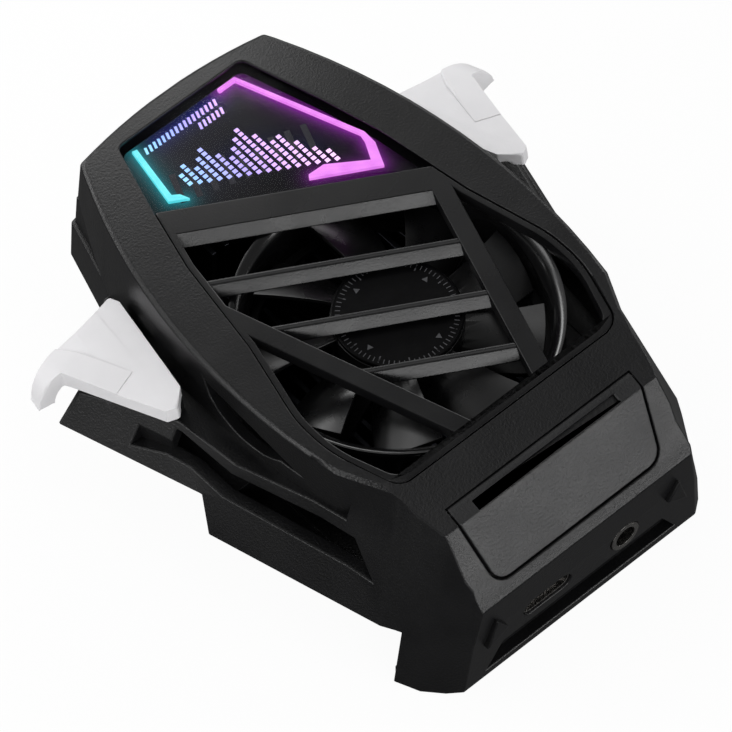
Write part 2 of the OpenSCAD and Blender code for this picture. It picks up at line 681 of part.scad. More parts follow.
module square_plan(side, r) {
    h = side / 2;
    polygon(rounded([[-h, -h], [h, -h], [h, h], [-h, h]], r));
}
module cold_plate() {
    color([0.75, 0.76, 0.78]) linear_extrude(plate_t) square_plan(plate_side, 3);
}
module rear_cover() {
    color([0.13, 0.13, 0.14]) difference() {
        union() {
            box([-25.4, -29.3, 0.2], [25.4, 34.4, wall]);
            mirrored() for (p = sink_screws)
                translate([p.x, p.y, wall - eps]) cylinder(r = 1.8, h = sink_z - wall + eps);
            mirrored() box([rod_at.x - 1.9, 31, wall - eps], [rod_at.x + 1.9, 34.3, rod_at.y + 2]);
        }
        translate([0, 0, -1]) linear_extrude(4) square_plan(plate_side + 0.3, 3.1);
        mirrored() translate([rod_at.x, 29, rod_at.y]) rotate([-90, 0, 0])
            cylinder(r = rod_r + rod_clear, h = 6);
        mirrored() for (p = concat(sink_screws, [boss_at])) {
            translate([p.x, p.y, -1]) cylinder(r = 1.05, h = 9);
            translate([p.x, p.y, 0.2 - eps]) cylinder(r1 = 2.05, r2 = 1.05, h = 1);
        }
        mirrored() box([20, -17, -1], [23.6, 17, 0.9]);
    }
}
module rear_strips() {
    color([0.2, 0.2, 0.2]) mirrored() box([20.05, -16.95, 0], [23.55, 16.95, 0.88]);
}
module cover_screws() {
    color([0.6, 0.6, 0.62]) mirrored() for (p = concat(sink_screws, [boss_at]))
        translate([p.x, p.y, 0.25]) difference() {
            union() {
                cylinder(r1 = 1.9, r2 = 0.88, h = 0.95);
                cylinder(r = 0.88, h = 6.1);
            }
            for (a = [0, 90]) rotate(a) translate([-0.9, -0.2, -eps]) cube([1.8, 0.4, 0.5]);
        }
}

// Ports and electronics
module main_board() {
    color([0.05, 0.3, 0.15]) {
        box([-15.8, port_y + 3.4, wall + 0.1], [15.8, -25.5, wall + 1.3]);
        box([-8, -33, wall + 1.2], [-1, -26.5, wall + 2.4]);
        box([3, -31, wall + 1.2], [9, -27, wall + 2.2]);
        box([11.5, -34, wall + 1.2], [15, -29, wall + 3.2]);
    }
}
module port_plate() {
    color([0.05, 0.05, 0.05]) box([-20.3, port_y + 2.25, 1.8 - leg_depth], [20.3, port_y + 3, -4.2]);
}
module stadium(w, h) {
    square([w - h, h], center = true);
    mirrored() translate([(w - h) / 2, 0]) circle(d = h);
}
// Where the sockets end, just short of the leg's cover
port_back = leg_in_y - leg_cover_t - 0.3;
module usb_receptacle() {
    deep = port_back - port_y - 0.5;
    color([0.7, 0.7, 0.72]) translate([usb_x, port_y + 0.5, port_z]) {
        rotate([-90, 0, 0]) linear_extrude(deep) difference() {
            stadium(usb_slot.x - 0.2, usb_slot.y - 0.2);
            stadium(usb_slot.x - 0.8, usb_slot.y - 0.8);
        }
        translate([0, deep - 0.8, 0]) rotate([-90, 0, 0]) linear_extrude(0.8)
            stadium(usb_slot.x - 0.4, usb_slot.y - 0.4);
        box([-3.2, 1.2, -0.35], [3.2, deep - 0.6, 0.35]);
        box([-3.6, 3.4, 1.4], [3.6, deep - 0.1, wall + 0.1 - port_z]);
    }
}
module audio_jack() {
    color([0.75, 0.75, 0.76]) translate([jack_x, 0, port_z]) difference() {
        union() {
            translate([0, port_y - 0.15, 0]) rotate([-90, 0, 0]) cylinder(d = jack_collar, h = 3.2);
            box([-3.1, port_y + 2.95, -2.7], [3.1, port_back - 0.1, wall + 0.1 - port_z]);
        }
        translate([0, port_y - 1, 0]) rotate([-90, 0, 0]) cylinder(d = jack_bore, h = 7.6);
    }
}
plug_z = -4.5;
module phone_plug() {
    color([0.7, 0.7, 0.72]) translate([0, leg_in_y, plug_z]) difference() {
        union() {
            translate([0, -0.1 - leg_cover_t, 0]) rotate([-90, 0, 0]) linear_extrude(6.4 + leg_cover_t)
                stadium(8.25, 2.4);
            box([-4.4, -3.6, -1.6], [4.4, -0.05 - leg_cover_t, 1.6]);
        }
        translate([0, 1.6, 0]) rotate([-90, 0, 0]) linear_extrude(6) stadium(7.4, 1.5);
    }
}
module leg_cover() {
    color([0.13, 0.13, 0.14]) difference() {
        box([-23.9, leg_in_y - leg_cover_t, 1.75 - leg_depth], [23.9, leg_in_y, -0.1]);
        translate([0, leg_in_y - 4, plug_z]) rotate([-90, 0, 0]) linear_extrude(6) stadium(8.45, 2.6);
    }
}
module leg_pad() {
    color([0.2, 0.2, 0.2]) difference() {
        box([-20, leg_in_y, -8.6], [20, leg_in_y + 0.6, -1]);
        translate([0, leg_in_y - 1, plug_z]) rotate([-90, 0, 0]) linear_extrude(3) stadium(9, 3.2);
    }
}

// Clamp at the window end
function clamp_half(e) = concat(
    arc([0, crown_cy], crown_r + 0.6 * e, 88, acos((top_half + 0.6 * e) / (crown_r + 0.6 * e)), 4),
    [[20.6 + e, clamp_joint_y]]);
arm_half = concat(arc([0, crown_cy], crown_r + 0.3, 88, 79.4, 4), [[17.2, clamp_in_y]]);
clamp_step = 8;
module clamp_slider() {
    color([0.13, 0.13, 0.14]) difference() {
        union() {
            intersection() {
                union() {
                    loft([lift(both(clamp_half(3.2)), 0.3), lift(both(clamp_half(2.6)), clamp_step)]);
                    loft([lift(both(clamp_half(1.8)), clamp_step - 1), lift(both(clamp_half(1)), 15)]);
                }
                along_x(joint(0.3), -far, far);
            }
            translate([0, 0, -leg_depth]) linear_extrude(leg_depth + 0.8) polygon(both(arm_half));
            box([-15.5, clamp_in_y - 1.5, -leg_depth], [15.5, clamp_in_y + 1, 1.6 - leg_depth]);
        }
        along_x([[clamp_joint_y, 2.3], [45, 2.3], [45, 10], [clamp_joint_y + 2.5, 5.5],
            [clamp_joint_y, 5.5]], -15, 15);
        mirrored() translate([rod_at.x, clamp_joint_y, rod_at.y]) rotate([-90, 0, 0])
            cylinder(r = rod_r + 0.02, h = 8);
    }
}
module clamp_pad() {
    color([0.2, 0.2, 0.2]) box([-14, clamp_in_y - 0.6, -8.8], [14, clamp_in_y, -1]);
}
module guide_rods() {
    color([0.75, 0.75, 0.77]) mirrored() {
        translate([rod_at.x, 19, rod_at.y]) rotate([-90, 0, 0])
            cylinder(r = rod_r, h = clamp_joint_y + 7.9 - 19);
        translate([rod_at.x, 19, rod_at.y]) rotate([-90, 0, 0]) cylinder(r = 1.8, h = 1.2);
    }
}

front_shell();
base_shell();
grille();
rear_cover();
leg_cover();
port_plate();
window_lens();
display_plate();
light_strip_left();
light_strip_right();
fan_frame();
fan_shroud();
fan_rotor();
hub_cap();
rotor_magnet();
motor_stator();
motor_shaft();
sleeve_bearing();
heatsink();
thermo_module();
cold_plate();
main_board();
usb_receptacle();
audio_jack();
phone_plug();
clamp_slider();
clamp_pad();
guide_rods();
leg_pad();
kickstand();
kickstand_pin();
paddle_left();
paddle_right();
paddle_pin_left();
paddle_pin_right();
paddle_switches();
rear_strips();
cover_screws();
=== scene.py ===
import json
import math
import bmesh
import bpy
from mathutils import Matrix, Vector
from mathutils.bvhtree import BVHTree
from mathutils.geometry import intersect_point_line

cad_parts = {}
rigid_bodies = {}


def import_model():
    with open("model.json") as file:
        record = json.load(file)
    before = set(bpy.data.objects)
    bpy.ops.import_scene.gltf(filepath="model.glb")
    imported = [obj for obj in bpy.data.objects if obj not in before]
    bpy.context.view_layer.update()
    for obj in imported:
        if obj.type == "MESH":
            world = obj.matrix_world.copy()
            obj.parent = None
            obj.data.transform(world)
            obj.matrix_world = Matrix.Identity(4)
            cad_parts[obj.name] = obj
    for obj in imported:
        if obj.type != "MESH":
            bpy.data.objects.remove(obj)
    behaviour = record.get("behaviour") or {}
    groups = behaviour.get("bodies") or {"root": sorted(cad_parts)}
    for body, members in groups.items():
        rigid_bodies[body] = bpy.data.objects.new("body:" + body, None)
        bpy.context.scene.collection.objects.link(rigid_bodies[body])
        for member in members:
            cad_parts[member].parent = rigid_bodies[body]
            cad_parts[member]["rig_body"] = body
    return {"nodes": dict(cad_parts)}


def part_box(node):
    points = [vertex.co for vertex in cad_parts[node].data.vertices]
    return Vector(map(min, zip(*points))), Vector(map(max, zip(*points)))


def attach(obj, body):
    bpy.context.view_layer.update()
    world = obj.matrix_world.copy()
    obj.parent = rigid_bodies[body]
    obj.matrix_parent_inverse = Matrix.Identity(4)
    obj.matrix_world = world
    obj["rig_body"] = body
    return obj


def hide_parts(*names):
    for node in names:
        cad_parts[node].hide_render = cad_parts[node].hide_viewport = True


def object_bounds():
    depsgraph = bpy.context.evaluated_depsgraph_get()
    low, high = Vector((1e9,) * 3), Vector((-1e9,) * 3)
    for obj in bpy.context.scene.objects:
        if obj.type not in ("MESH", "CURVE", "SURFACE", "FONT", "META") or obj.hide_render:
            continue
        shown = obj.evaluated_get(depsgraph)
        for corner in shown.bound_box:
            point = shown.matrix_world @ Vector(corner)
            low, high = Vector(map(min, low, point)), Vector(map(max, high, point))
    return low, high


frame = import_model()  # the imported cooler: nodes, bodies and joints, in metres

cadBox = [list(corner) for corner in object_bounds()]  # the size that the looks keep to
scene = bpy.context.scene
nodes = frame["nodes"]
mm = 0.001
print("frame loaded:", len(nodes), "nodes")


def hexColor(code):  # sRGB hex to linear, alpha 1
    parts = [int(code[i:i + 2], 16) / 255 for i in (1, 3, 5)]
    return tuple(p / 12.92 if p <= 0.04045 else ((p + 0.055) / 1.055) ** 2.4 for p in parts) + (1.0,)


def perMetre(size):  # texture scale for a feature of that many millimetres
    return 1 / (size * mm)


def addNode(tree, kind, settings=None, links=None):  # one node with its settings and incoming links
    node = tree.nodes.new(kind)
    for key, value in (settings or {}).items():
        if isinstance(key, str) and hasattr(node, key):
            setattr(node, key, value)
        else:
            node.inputs[key].default_value = value
    for key, source in (links or {}).items():
        tree.links.new(source, node.inputs[key])
    return node


def startMaterial(name, look):  # a Principled shader with its constants, and Object coordinates
    material = bpy.data.materials.new(name)
    material.use_nodes = True
    tree = material.node_tree
    shader = tree.nodes["Principled BSDF"]
    for key, value in look.items():
        shader.inputs[key].default_value = value
    coords = addNode(tree, "ShaderNodeTexCoord").outputs["Object"]
    return material, tree, shader, coords


def rampColors(node, stops):  # colour stops as (place, hex)
    ramp = node.color_ramp
    while len(ramp.elements) < len(stops):
        ramp.elements.new(0.5)
    for element, (place, code) in zip(ramp.elements, stops):
        element.position = place
        element.color = hexColor(code)


# Camera: long lens, from the photograph's own side and height
cameraPlan = {
    "place": (-351.03, -396.46, 779.24),  # mm
    "right": (0.74592, -0.66597, -0.0088),
    "up": (0.55315, 0.61208, 0.56514),
    "lens": 319.67,
    "sensor": 36.0,
    "clip": (0.01, 20),  # metres
}
bpy.ops.object.select_all(action="DESELECT")
bpy.ops.object.camera_add()
camera = bpy.context.object
camera.name = "photoCamera"
right = Vector(cameraPlan["right"]).normalized()
up = Vector(cameraPlan["up"])
up = (up - right * up.dot(right)).normalized()
turn = Matrix((right, up, right.cross(up))).transposed().to_4x4()
camera.matrix_world = Matrix.Translation(Vector(cameraPlan["place"]) * mm) @ turn
camera.data.lens = cameraPlan["lens"]
camera.data.sensor_width = cameraPlan["sensor"]
camera.data.clip_start, camera.data.clip_end = cameraPlan["clip"]
scene.camera = camera
scene.view_settings.view_transform = "Standard"

# Studio: soft boxes round the part, each given by where it stands, what it looks at and its size
studioLights = {  # places and sizes in mm
    "topBox": {"place": (60, -40, 640), "aim": (0, 0, 15), "size": (420, 320), "watts": 0.5},
    "tipBox": {"place": (55, 130, 150), "aim": (0, 45, 20), "size": (140, 90), "watts": 0.024},
    "tipStrip": {"place": (12, 92, 70), "aim": (-5, 48, 22), "size": (70, 24), "watts": 0.02},
    "farBox": {"place": (-60, 560, 300), "aim": (0, 40, 20), "size": (420, 120), "watts": 0.3},
    "rimStrip": {"place": (-150, 540, 90), "aim": (0, 40, 18), "size": (520, 70), "watts": 0.8},
    "backBox": {"place": (-300, 400, 500), "aim": (0, 0, 15), "size": (300, 200), "watts": 0.6},
    "edgeStrip": {"place": (-520, 300, 230), "aim": (-10, 10, 12), "size": (420, 60), "watts": 0.3},
    "leftStrip": {"place": (-500, 95, 265), "aim": (0, 0, 15), "size": (320, 70), "watts": 0.55},
    "slatBox": {"place": (-100, -260, 100), "aim": (0, 0, 20), "size": (160, 70), "watts": 0.26},
    "flapBox": {"place": (260, -650, 60), "aim": (0, 0, 10), "size": (300, 160), "watts": 0.95},
    "frontStrip": {"place": (260, -560, 300), "aim": (0, 0, 15), "size": (300, 60), "watts": 0.6},
    "rightBox": {"place": (500, 400, 300), "aim": (0, 0, 15), "size": (300, 200), "watts": 0.7},
    "rightStrip": {"place": (560, -50, 70), "aim": (0, 0, 18), "size": (420, 60), "watts": 0.4},
}
for name, plan in studioLights.items():
    bpy.ops.object.select_all(action="DESELECT")
    bpy.ops.object.light_add(type="AREA")
    lamp = bpy.context.object
    lamp.name = name
    place = Vector(plan["place"]) * mm
    lamp.location = place
    lamp.rotation_mode = "QUATERNION"
    lamp.rotation_quaternion = (Vector(plan["aim"]) * mm - place).to_track_quat("-Z", "Y")
    lamp.data.shape = "RECTANGLE"
    lamp.data.size = plan["size"][0] * mm
    lamp.data.size_y = plan["size"][1] * mm
    lamp.data.energy = plan["watts"]
    lamp.visible_camera = False

# World: plain fill for the part, a white backdrop to camera and reflections that dims towards the ceiling
worldPlan = {"fill": 0.26, "ceiling": 0.2, "turn": (0.0, 0.2)}  # it dims between these two heights of a unit ray
world = bpy.data.worlds.new("studioWhite")
scene.world = world
world.use_nodes = True
tree = world.node_tree
rays = addNode(tree, "ShaderNodeLightPath")
sky = addNode(tree, "ShaderNodeTexCoord")
height = addNode(tree, "ShaderNodeSeparateXYZ", None, {"Vector": sky.outputs["Generated"]})
sweep = addNode(tree, "ShaderNodeMapRange", {
    "From Min": worldPlan["turn"][0], "From Max": worldPlan["turn"][1],
    "To Min": 1, "To Max": worldPlan["ceiling"]}, {"Value": height.outputs["Z"]})
mirrored = addNode(tree, "ShaderNodeMath", {"operation": "MULTIPLY"},
                   {0: rays.outputs["Is Glossy Ray"], 1: sweep.outputs[0]})
seen = addNode(tree, "ShaderNodeMath", {"operation": "MAXIMUM"},
               {0: rays.outputs["Is Camera Ray"], 1: rays.outputs["Is Transmission Ray"]})
seen = addNode(tree, "ShaderNodeMath", {"operation": "MAXIMUM"}, {0: seen.outputs[0], 1: mirrored.outputs[0]})
plain = addNode(tree, "ShaderNodeMath", {"operation": "MULTIPLY", 1: worldPlan["fill"]},
                {0: rays.outputs["Is Diffuse Ray"]})
level = addNode(tree, "ShaderNodeMath", {"operation": "MAXIMUM"}, {0: plain.outputs[0], 1: seen.outputs[0]})
tree.links.new(level.outputs[0], tree.nodes["Background"].inputs["Strength"])
tree.nodes["Background"].inputs["Color"].default_value = hexColor("#ffffff")

# Floor: pale paper sweep, mostly white to the camera but still taking the part's shadow
floorPlan = {"size": 6.0, "drop": 0.02, "white": 0.95, "shade": 0.1, "reach": (120, 320)}  # size in m, the rest in mm
bpy.ops.object.select_all(action="DESELECT")
bpy.ops.mesh.primitive_grid_add(x_subdivisions=4, y_subdivisions=4, size=floorPlan["size"],
                                location=(0, 0, cadBox[0][2] - floorPlan["drop"] * mm))
floor = bpy.context.object
floor.name = "paperFloor"
bpy.ops.object.transform_apply(location=True, rotation=True, scale=True)
paper, tree, shader, coords = startMaterial("paperSweepMatt", {"Roughness": 0.9, "Specular IOR Level": 0.1})
fibre = addNode(tree, "ShaderNodeTexNoise", {"Scale": perMetre(40), "Detail": 2}, {"Vector": coords})
tone = addNode(tree, "ShaderNodeValToRGB", None, {"Fac": fibre.outputs[0]})
rampColors(tone, [(0.3, "#f0f0f0"), (0.7, "#f4f4f4")])
tree.links.new(tone.outputs[0], shader.inputs["Base Color"])
rays = addNode(tree, "ShaderNodeLightPath")
seen = addNode(tree, "ShaderNodeMath", {"operation": "MAXIMUM"},
               {0: rays.outputs["Is Glossy Ray"], 1: rays.outputs["Is Transmission Ray"]})
share = addNode(tree, "ShaderNodeMath", {"operation": "MULTIPLY_ADD", 1: floorPlan["white"]},
                {0: rays.outputs["Is Camera Ray"], 2: seen.outputs[0]})
# in a reflection the paper is dark close to the part, which shades it, and white further out
away = addNode(tree, "ShaderNodeVectorMath", {"operation": "LENGTH"}, {0: coords})
level = addNode(tree, "ShaderNodeMapRange", {
    "From Min": floorPlan["reach"][0] * mm, "From Max": floorPlan["reach"][1] * mm,
    "To Min": floorPlan["shade"], "To Max": 1}, {"Value": away.outputs["Value"]})
straight = addNode(tree, "ShaderNodeMath", {"operation": "MAXIMUM"},
                   {0: rays.outputs["Is Camera Ray"], 1: level.outputs[0]})
glow = addNode(tree, "ShaderNodeEmission", {"Color": hexColor("#ffffff")}, {"Strength": straight.outputs[0]})
mixed = addNode(tree, "ShaderNodeMixShader", None,
                {0: share.outputs[0], 1: shader.outputs[0], 2: glow.outputs[0]})
tree.links.new(mixed.outputs[0], tree.nodes["Material Output"].inputs["Surface"])
floor.data.materials.append(paper)
print("studio ready")


def mottle(tree, shader, noise, tones, rough, span=(0.3, 0.7)):  # one noise drives the colour and the roughness
    tone = addNode(tree, "ShaderNodeValToRGB", None, {"Fac": noise.outputs[0]})
    rampColors(tone, tones)
    tree.links.new(tone.outputs[0], shader.inputs["Base Color"])
    dull = addNode(tree, "ShaderNodeMapRange", {
        "From Min": span[0], "From Max": span[1], "To Min": rough[0], "To Max": rough[1]},
        {"Value": noise.outputs[0]})
    tree.links.new(dull.outputs[0], shader.inputs["Roughness"])


def mouldedAbs(name, look):  # ABS from a textured mould: a dull pebbled skin that takes a soft sheen
    material, tree, shader, coords = startMaterial(name, {"IOR": 1.53, "Specular IOR Level": look["sheen"]})
    cloud = addNode(tree, "ShaderNodeTexNoise", {"Scale": perMetre(9), "Detail": 3}, {"Vector": coords})
    mottle(tree, shader, cloud, [(0.35, look["dark"]), (0.65, look["pale"])], look["rough"])
    # the mould's grit is finer than a pixel here, so it is drawn as coarse as it needs to show
    grit = addNode(tree, "ShaderNodeTexNoise", {"Scale": perMetre(look["grit"]), "Detail": 2,
                                                "Roughness": 0.6}, {"Vector": coords})
    bump = addNode(tree, "ShaderNodeBump", {"Strength": look["bite"], "Distance": look["grit"] * 0.2 * mm},
                   {"Height": grit.outputs[0]})
    tree.links.new(bump.outputs[0], shader.inputs["Normal"])
    return material


shellAbs = mouldedAbs("absBlackSparkEroded", {"dark": "#0e0e0f", "pale": "#121213", "rough": (0.28, 0.36),
                                              "grit": 0.36, "bite": 0.7, "sheen": 0.3})
grilleAbs = mouldedAbs("absBlackSatin", {"dark": "#0d0d0e", "pale": "#111112", "rough": (0.24, 0.32),
                                         "grit": 0.35, "bite": 0.25, "sheen": 0.3})
flapAbs = mouldedAbs("absBlackCoarseEtched", {"dark": "#161617", "pale": "#1c1c1d", "rough": (0.36, 0.44),
                                              "grit": 0.42, "bite": 0.9, "sheen": 0.4})
paddleAbs = mouldedAbs("absWhiteSatin", {"dark": "#dcdbdd", "pale": "#e2e1e3", "rough": (0.36, 0.44),
                                         "grit": 0.5, "bite": 0.1, "sheen": 0.4})
innerAbs = mouldedAbs("absBlackPlain", {"dark": "#0d0d0e", "pale": "#111112", "rough": (0.5, 0.6),
                                        "grit": 0.5, "bite": 0.2, "sheen": 0.15})

# PBT fan: moulded smooth, long soft highlights along the blades with faint flow marks
fanPbt, tree, shader, coords = startMaterial("pbtBlackMoulded", {"IOR": 1.55, "Specular IOR Level": 0.5})
flow = addNode(tree, "ShaderNodeTexNoise", {"Scale": perMetre(5), "Detail": 3}, {"Vector": coords})
mottle(tree, shader, flow, [(0.35, "#0f0f10"), (0.65, "#151516")], (0.24, 0.34))

# Polycarbonate duct: polished mould, so its wall catches bright crescents
ductPc, tree, shader, coords = startMaterial("polycarbonateBlackPolished", {"IOR": 1.58, "Specular IOR Level": 0.5})
flow = addNode(tree, "ShaderNodeTexNoise", {"Scale": perMetre(6), "Detail": 2}, {"Vector": coords})
mottle(tree, shader, flow, [(0.35, "#0c0c0d"), (0.65, "#121213")], (0.16, 0.24))

# Smoked acrylic: cast and polished, a very thin veil with the faint smears of a wiped lens
lensAcrylic, tree, shader, coords = startMaterial("acrylicSmokedPolished", {
    "IOR": 1.49, "Alpha": 0.05, "Specular IOR Level": 0.5})
smear = addNode(tree, "ShaderNodeTexNoise", {"Scale": perMetre(7), "Detail": 4}, {"Vector": coords})
mottle(tree, shader, smear, [(0.3, "#08080a"), (0.7, "#0e0e11")], (0.05, 0.12), (0.35, 0.7))

# Acrylic light guide: near-black tinted sheet with a painted glow round its lamps and a painted grey reflection over
# its left part
guideAcrylic, tree, shader, coords = startMaterial("acrylicGuideTinted", {
    "IOR": 1.49, "Specular IOR Level": 0.1, "Emission Strength": 1.0})
smear = addNode(tree, "ShaderNodeTexNoise", {"Scale": perMetre(5), "Detail": 2}, {"Vector": coords})
mottle(tree, shader, smear, [(0.3, "#050506"), (0.7, "#08080a")], (0.2, 0.3), (0, 1))
halo = addNode(tree, "ShaderNodeAttribute", {"attribute_type": "GEOMETRY", "attribute_name": "halo"})
tree.links.new(halo.outputs["Color"], shader.inputs["Emission Color"])


def litDiffuser(name, look):  # opal silicone over lamps: even light that swells a little at each lamp
    material, tree, shader, coords = startMaterial(name, {
        "IOR": 1.41, "Roughness": 0.4, "Base Color": hexColor(look["skin"]), "Emission Strength": look["power"]})
    lamp = addNode(tree, "ShaderNodeTexNoise", {"Scale": perMetre(3), "Detail": 1}, {"Vector": coords})
    tone = addNode(tree, "ShaderNodeValToRGB", None, {"Fac": lamp.outputs[0]})
    rampColors(tone, [(0.35, look["deep"]), (0.65, look["core"])])
    tree.links.new(tone.outputs[0], shader.inputs["Emission Color"])
    return material


cyanSilicone = litDiffuser("siliconeOpalCyan", {
    "skin": "#5f9aa0", "deep": "#42cdd8", "core": "#5cdae4", "power": 1.05})
pinkSilicone = litDiffuser("siliconeOpalMagenta", {
    "skin": "#7c4a82", "deep": "#e07aea", "core": "#ee8cf5", "power": 1.0})

# Printed lamp dots: cyan at the left through blue and violet to pink at the right
dotInk, tree, shader, coords = startMaterial("lampDotsPrinted", {
    "Roughness": 0.5, "Base Color": hexColor("#8a86a0"), "Emission Strength": 1.2})
axes = addNode(tree, "ShaderNodeSeparateXYZ", None, {"Vector": coords})
along = addNode(tree, "ShaderNodeMapRange", {"From Min": -12 * mm, "From Max": 14 * mm},
                {"Value": axes.outputs["X"]})
tone = addNode(tree, "ShaderNodeValToRGB", None, {"Fac": along.outputs[0]})
rampColors(tone, [(0.05, "#7ff3fa"), (0.25, "#7fb4ff"), (0.45, "#a493ff"), (0.65, "#d9a2ff"), (0.9, "#ffc2ff")])
tree.links.new(tone.outputs[0], shader.inputs["Emission Color"])


def rolledMetal(name, look):  # metal with fine lines along one way, which draw the highlight out across them
    material, tree, shader, coords = startMaterial(name, {"Metallic": 1.0})
    stretch = addNode(tree, "ShaderNodeMapping", {"Scale": look["lines"]}, {"Vector": coords})
    line = addNode(tree, "ShaderNodeTexNoise", {"Scale": perMetre(look["pitch"]), "Detail": 3},
                   {"Vector": stretch.outputs[0]})
    mottle(tree, shader, line, [(0.3, look["dark"]), (0.7, look["pale"])], look["rough"])
    bump = addNode(tree, "ShaderNodeBump", {"Strength": 0.15, "Distance": 0.02 * mm}, {"Height": line.outputs[0]})
    tree.links.new(bump.outputs[0], shader.inputs["Normal"])
    return material


sinkMetal = rolledMetal("aluminiumBlackAnodised", {"dark": "#2b2c30", "pale": "#3a3b40", "rough": (0.4, 0.5),
                                                   "lines": (1, 0.05, 1), "pitch": 0.4})
plateMetal = rolledMetal("aluminiumBrushed", {"dark": "#a9abaf", "pale": "#c6c8cc", "rough": (0.28, 0.4),
                                              "lines": (0.03, 1, 1), "pitch": 0.35})
nickelSteel = rolledMetal("steelNickelPlated", {"dark": "#8e8c8a", "pale": "#a3a19e", "rough": (0.22, 0.3),
                                                "lines": (1, 0.2, 1), "pitch": 0.6})
pinSteel = rolledMetal("steelGroundRod", {"dark": "#9b9b9d", "pale": "#b4b4b6", "rough": (0.2, 0.3),
                                          "lines": (1, 1, 1), "pitch": 0.3})
bearingBronze = rolledMetal("bronzeSintered", {"dark": "#8a6a3c", "pale": "#a98348", "rough": (0.4, 0.5),
                                               "lines": (1, 1, 1), "pitch": 0.25})
copperWire = rolledMetal("copperEnamelled", {"dark": "#8d4f2a", "pale": "#b0683a", "rough": (0.25, 0.35),
                                             "lines": (1, 1, 0.2), "pitch": 0.3})


def dullSolid(name, look):  # pressed or coated stuff with a mottled matt face
    material, tree, shader, coords = startMaterial(name, {"IOR": look["ior"], "Specular IOR Level": look["sheen"]})
    speck = addNode(tree, "ShaderNodeTexNoise", {"Scale": perMetre(look["speck"]), "Detail": 4}, {"Vector": coords})
    mottle(tree, shader, speck, [(0.3, look["dark"]), (0.7, look["pale"])], look["rough"])
    bump = addNode(tree, "ShaderNodeBump", {"Strength": 0.3, "Distance": look["speck"] * 0.1 * mm},
                   {"Height": speck.outputs[0]})
    tree.links.new(bump.outputs[0], shader.inputs["Normal"])
    return material


padRubber = dullSolid("siliconeRubberPad", {"dark": "#1c1c1d", "pale": "#232324", "rough": (0.7, 0.8), "speck": 0.6,
                                            "ior": 1.41, "sheen": 0.3})
ferrite = dullSolid("ferritePressed", {"dark": "#2a2a2b", "pale": "#363637", "rough": (0.5, 0.6), "speck": 0.4,
                                       "ior": 1.6, "sheen": 0.5})
alumina = dullSolid("aluminaFired", {"dark": "#e2e0da", "pale": "#efeeea", "rough": (0.45, 0.55), "speck": 0.5,
                                     "ior": 1.76, "sheen": 0.5})
solderMask = dullSolid("fibreglassSolderMask", {"dark": "#0b3a20", "pale": "#10482a", "rough": (0.3, 0.4),
                                                "speck": 1.2, "ior": 1.5, "sheen": 0.5})
switchNylon = dullSolid("nylonMoulded", {"dark": "#3a3a3c", "pale": "#444446", "rough": (0.5, 0.6), "speck": 0.6,
                                         "ior": 1.53, "sheen": 0.4})
discLabel = dullSolid("polyesterLabelBlack", {"dark": "#060607", "pale": "#09090a", "rough": (0.3, 0.38), "speck": 2,
                                              "ior": 1.55, "sheen": 0.06})
tickInk = dullSolid("screenInkGrey", {"dark": "#48484b", "pale": "#565659", "rough": (0.5, 0.6), "speck": 0.5,
                                      "ior": 1.5, "sheen": 0.3})
veilInk = dullSolid("screenInkSmoke", {"dark": "#24242b", "pale": "#2e2e36", "rough": (0.4, 0.5), "speck": 0.8,
                                       "ior": 1.5, "sheen": 0.2})
print("finishes ready:", len(bpy.data.materials))


def deselectAll():
    if bpy.context.object and bpy.context.object.mode != "OBJECT":
        bpy.ops.object.mode_set(mode="OBJECT")
    bpy.ops.object.select_all(action="DESELECT")


def makeActive(piece):
    deselectAll()
    piece.select_set(True)
    bpy.context.view_layer.objects.active = piece


def coat(piece, material):  # that finish alone
    piece.data.materials.clear()
    piece.data.materials.append(material)


cleaning = {"merge": 0.002, "flat": 0.3}  # mm between doubled points, degrees between faces that are one plane


def takeOver(name, node):  # a merged copy of a CAD node, with flat areas as single faces
    piece = bpy.data.objects.new(name, nodes[node].data.copy())
    scene.collection.objects.link(piece)
    piece.data.materials.clear()
    makeActive(piece)
    bpy.ops.mesh.customdata_custom_splitnormals_clear()
    bpy.ops.object.mode_set(mode="EDIT")
    bpy.ops.mesh.select_all(action="SELECT")
    bpy.ops.mesh.remove_doubles(threshold=cleaning["merge"] * mm)
    bpy.ops.mesh.dissolve_limited(angle_limit=math.radians(cleaning["flat"]))
    bpy.ops.object.mode_set(mode="OBJECT")
    return piece


def faceTree(mesh):  # for finding the nearest point of a mesh
    return BVHTree.FromPolygons([v.co for v in mesh.vertices], [list(p.vertices) for p in mesh.polygons])


bevelRules = {
    "tries": 8,
    "seamGap": 0.01,  # mm, an edge this close to the neighbour stays sharp
    "clear": 1.5,  # bevel widths kept free round a spared point, one more with each try
    "off": 0.6,  # bevel widths that a point may leave the skin by
    "turned": -0.2,  # a face that looks further back than this is turned over
    "tiny": 1e-12,  # square metres, too small a face to judge
}


def markEdges(piece, edge, seam, spared, reach):  # weight on each outer edge off the seam and clear of spared points
    work = bmesh.new()
    work.from_mesh(piece.data)
    weight = work.edges.layers.float.new("bevel_weight_edge")
    for line in work.edges:
        if len(line.link_faces) != 2 or not line.is_convex:
            continue
        if line.calc_face_angle() < math.radians(edge["fold"]):
            continue
        a, b = line.verts[0].co, line.verts[1].co
        if seam and seam.find_nearest((a + b) / 2)[3] < bevelRules["seamGap"] * mm:
            continue
        near = False
        for spot in spared:
            along = intersect_point_line(spot, a, b)[1]
            foot = a.lerp(b, max(0, min(1, along)))
            near = near or (foot - spot).length < reach
        if not near:
            line[weight] = 1
    work.to_mesh(piece.data)
    work.free()


